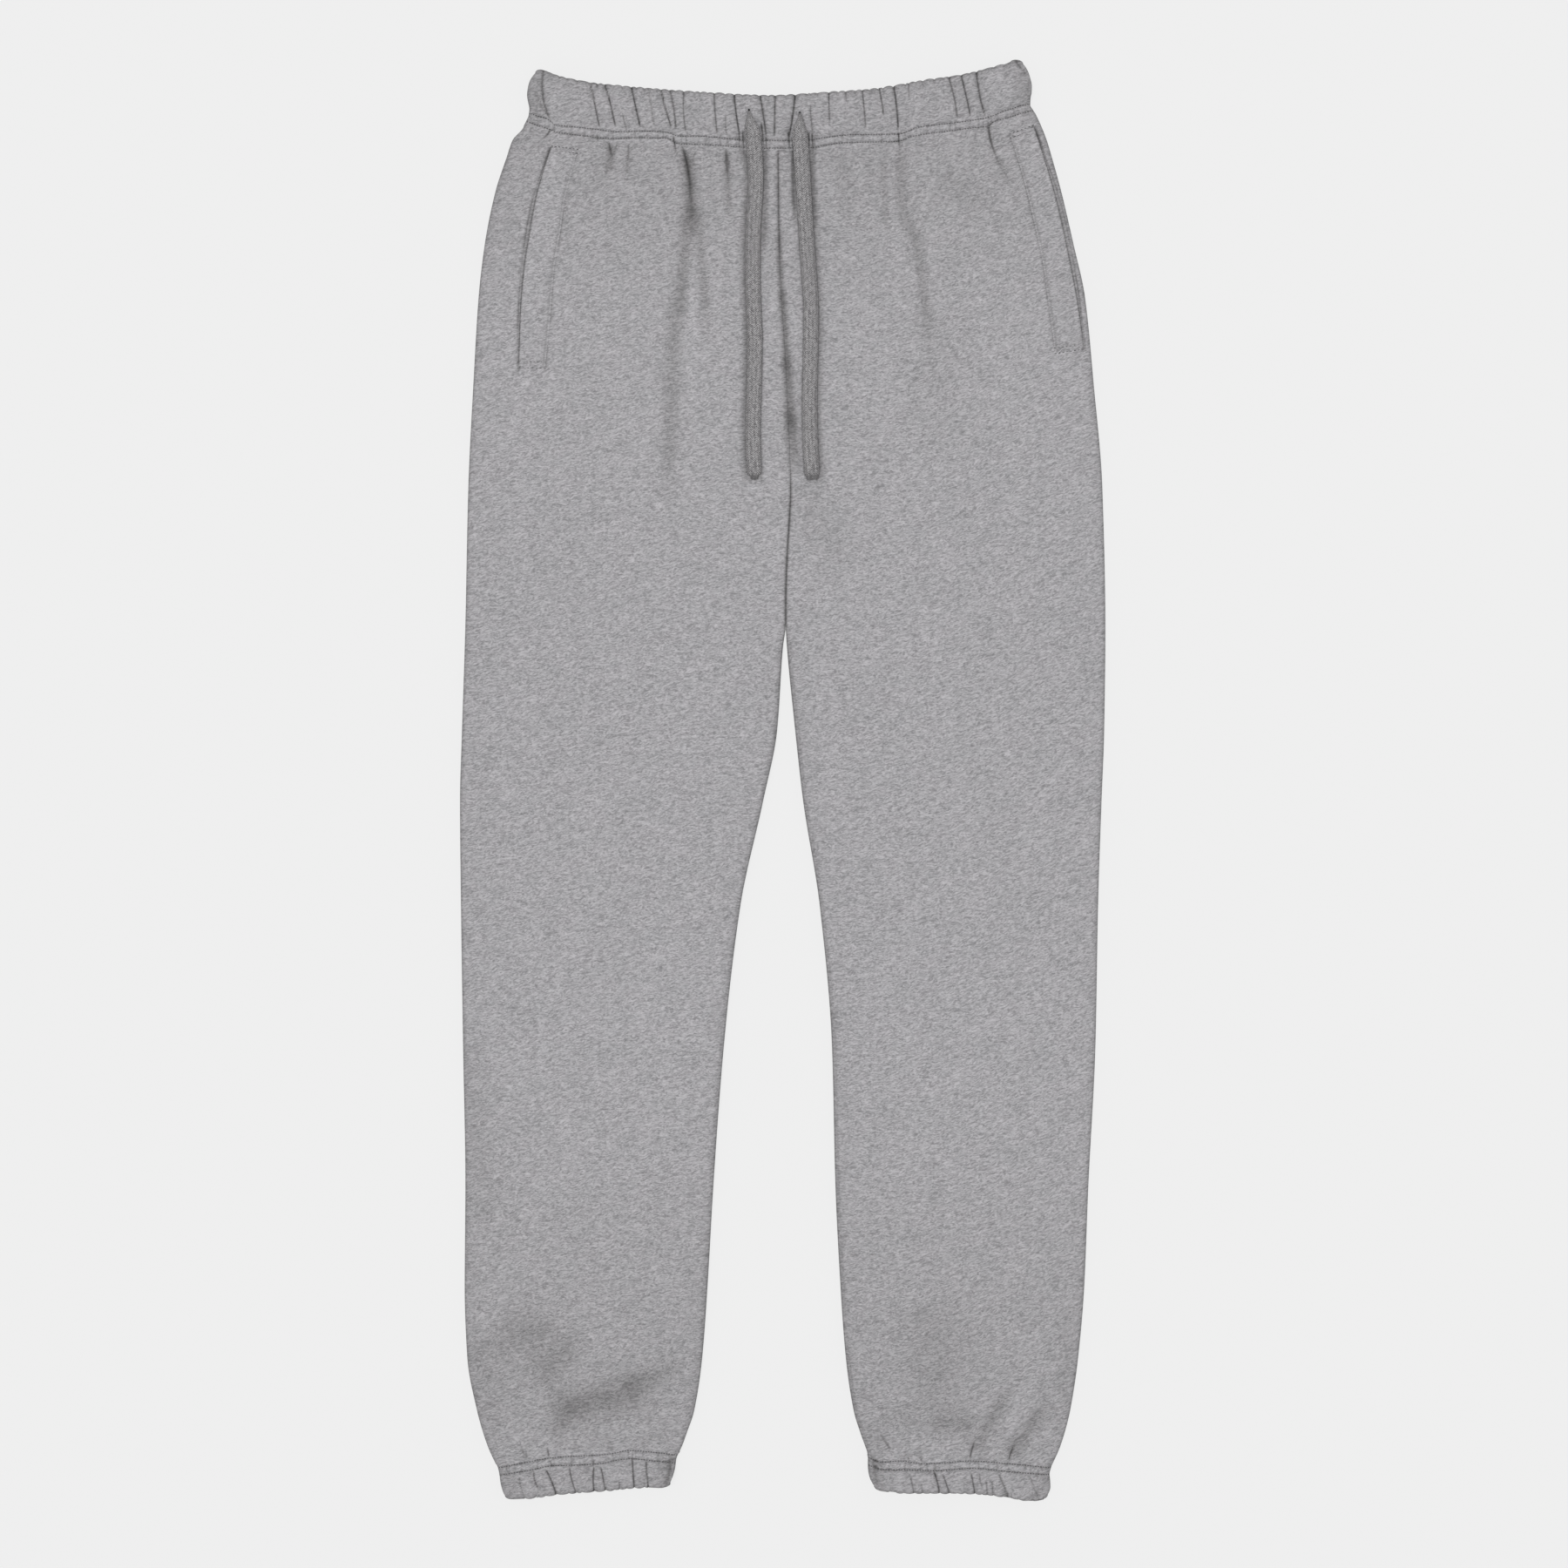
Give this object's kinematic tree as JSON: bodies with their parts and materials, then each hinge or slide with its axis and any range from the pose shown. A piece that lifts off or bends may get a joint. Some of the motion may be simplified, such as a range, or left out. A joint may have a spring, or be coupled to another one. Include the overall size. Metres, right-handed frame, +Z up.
{
  "type": "track pants",
  "caption": "Fleece track pants laid flat with gathered elastic waist and cuffs, side pockets and flat drawcords.",
  "frame": {"origin": "bottom centre of the garment's bounding box, on the surface it lies on", "axes": "+Y from the cuffs to the waist, +Z up out of the front, +X to the wearer's left"},
  "size_m": [0.4674, 1.042, 0.0165],
  "materials": {
    "fleece": "matte marl fleece knit, brushed inside",
    "braid": "matte flat knitted cord",
    "thread": "matte sewing thread"
  },
  "bodies": {
    "root": {"front_panel_right": "fleece", "front_panel_left": "fleece", "back_panel_right": "fleece", "back_panel_left": "fleece", "waistband": "fleece", "cuff_right": "fleece", "cuff_left": "fleece", "pocket_welt_right": "fleece", "pocket_welt_left": "fleece", "pocket_facing_right": "fleece", "pocket_facing_left": "fleece", "drawcord_right": "braid", "drawcord_left": "braid", "eyelet_right": "thread", "eyelet_left": "thread"}
  },
  "joints": []
}
